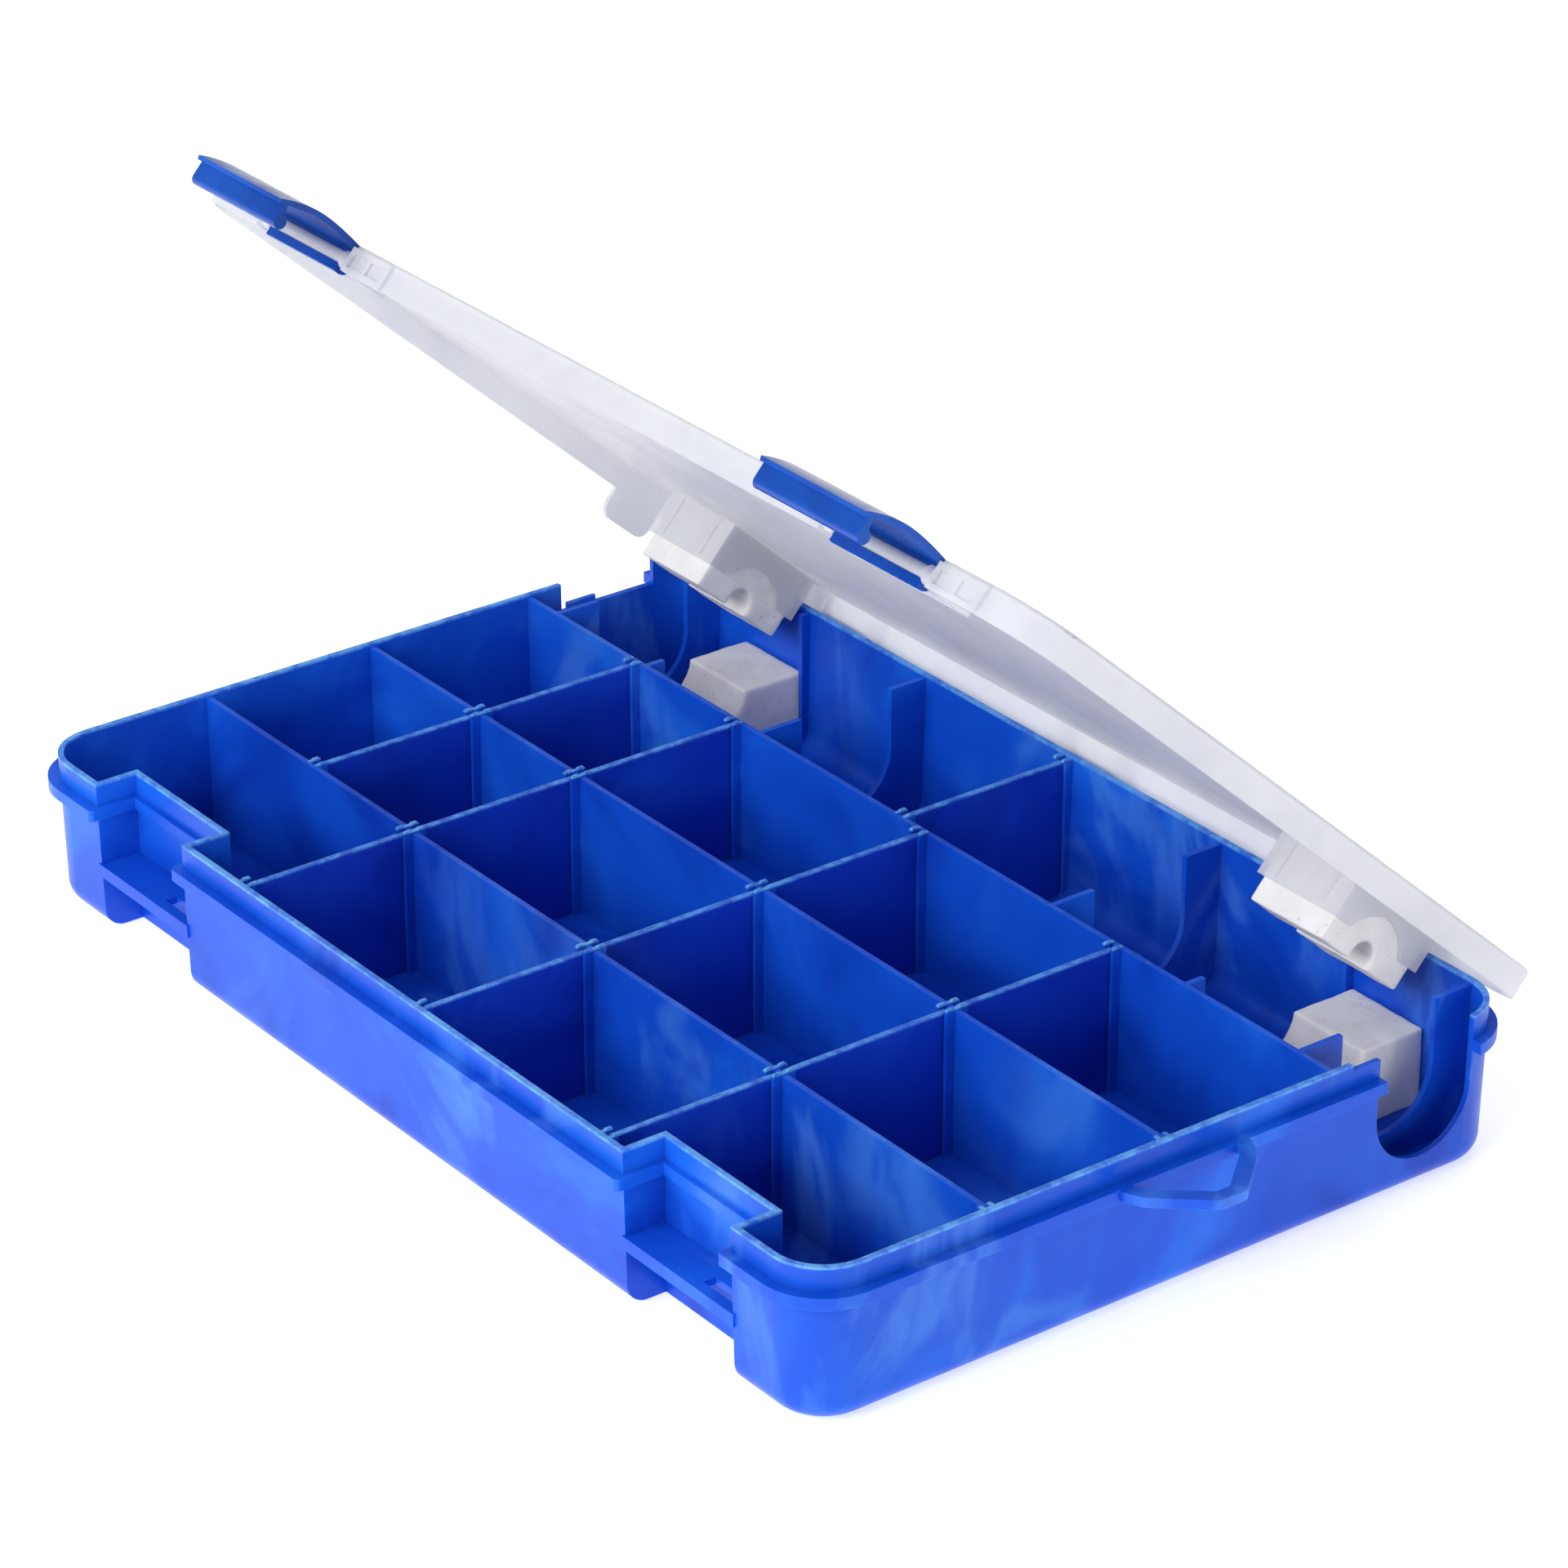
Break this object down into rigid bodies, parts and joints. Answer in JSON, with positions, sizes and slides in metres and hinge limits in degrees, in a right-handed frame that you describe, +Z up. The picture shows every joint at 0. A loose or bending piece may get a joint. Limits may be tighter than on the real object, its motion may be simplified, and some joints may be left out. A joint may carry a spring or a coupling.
{
  "type": "fishing tackle box",
  "caption": "Flat tackle box with a hinged clear lid, snap latches, lift-out dividers and a foam-gripped rod bay along its back.",
  "frame": {"origin": "middle of the tray's flat base", "axes": "+X along the box to the lanyard loop end, +Y from the latches to the hinge, +Z up"},
  "size_m": [0.3634, 0.2291, 0.2105],
  "materials": {
    "blue_plastic": "marbled blue polypropylene, satin gloss",
    "divider_plastic": "blue polypropylene, satin gloss",
    "latch_plastic": "blue polypropylene, satin gloss",
    "clear_plastic": "frosted see-through polypropylene",
    "foam": "matte closed-cell foam"
  },
  "bodies": {
    "tray": {"tray": "blue_plastic", "foam_tray_left": "foam", "foam_tray_right": "foam"},
    "lid": {"lid": "clear_plastic", "foam_lid_left": "foam", "foam_lid_right": "foam"},
    "latch_left": {"latch_left": "latch_plastic"},
    "latch_right": {"latch_right": "latch_plastic"},
    "divider_front_e": {"divider_front_e": "divider_plastic"},
    "divider_front_f": {"divider_front_f": "divider_plastic"},
    "divider_front_g": {"divider_front_g": "divider_plastic"},
    "divider_middle_d": {"divider_middle_d": "divider_plastic"},
    "divider_middle_e": {"divider_middle_e": "divider_plastic"},
    "divider_middle_f": {"divider_middle_f": "divider_plastic"},
    "divider_middle_g": {"divider_middle_g": "divider_plastic"},
    "divider_rear_d": {"divider_rear_d": "divider_plastic"},
    "divider_rear_e": {"divider_rear_e": "divider_plastic"},
    "divider_rear_f": {"divider_rear_f": "divider_plastic"},
    "divider_rear_g": {"divider_rear_g": "divider_plastic"},
    "divider_rod_bay": {"divider_rod_bay": "divider_plastic"}
  },
  "joints": [
    {"name": "lid_hinge", "type": "hinge", "parent": "tray", "child": "lid", "pos_m": [0, 0.11425, 0.035], "axis": [-1, 0, 0], "range_deg": [-42, 70]},
    {"name": "latch_left_pivot", "type": "hinge", "parent": "lid", "child": "latch_left", "pos_m": [-0.1185, -0.0485, 0.18827], "axis": [-1, 0, 0], "range_deg": [-90, 15]},
    {"name": "latch_right_pivot", "type": "hinge", "parent": "lid", "child": "latch_right", "pos_m": [0.1185, -0.0485, 0.18827], "axis": [-1, 0, 0], "range_deg": [-90, 15]},
    {"name": "divider_front_e_lift", "type": "slide", "parent": "tray", "child": "divider_front_e", "axis": [0, 0, 1], "range_m": [0, 0.042]},
    {"name": "divider_front_f_lift", "type": "slide", "parent": "tray", "child": "divider_front_f", "axis": [0, 0, 1], "range_m": [0, 0.042]},
    {"name": "divider_front_g_lift", "type": "slide", "parent": "tray", "child": "divider_front_g", "axis": [0, 0, 1], "range_m": [0, 0.042]},
    {"name": "divider_middle_d_lift", "type": "slide", "parent": "tray", "child": "divider_middle_d", "axis": [0, 0, 1], "range_m": [0, 0.042]},
    {"name": "divider_middle_e_lift", "type": "slide", "parent": "tray", "child": "divider_middle_e", "axis": [0, 0, 1], "range_m": [0, 0.042]},
    {"name": "divider_middle_f_lift", "type": "slide", "parent": "tray", "child": "divider_middle_f", "axis": [0, 0, 1], "range_m": [0, 0.042]},
    {"name": "divider_middle_g_lift", "type": "slide", "parent": "tray", "child": "divider_middle_g", "axis": [0, 0, 1], "range_m": [0, 0.042]},
    {"name": "divider_rear_d_lift", "type": "slide", "parent": "tray", "child": "divider_rear_d", "axis": [0, 0, 1], "range_m": [0, 0.042]},
    {"name": "divider_rear_e_lift", "type": "slide", "parent": "tray", "child": "divider_rear_e", "axis": [0, 0, 1], "range_m": [0, 0.042]},
    {"name": "divider_rear_f_lift", "type": "slide", "parent": "tray", "child": "divider_rear_f", "axis": [0, 0, 1], "range_m": [0, 0.042]},
    {"name": "divider_rear_g_lift", "type": "slide", "parent": "tray", "child": "divider_rear_g", "axis": [0, 0, 1], "range_m": [0, 0.042]},
    {"name": "divider_rod_bay_lift", "type": "slide", "parent": "tray", "child": "divider_rod_bay", "axis": [0, 0, 1], "range_m": [0, 0.008]}
  ]
}
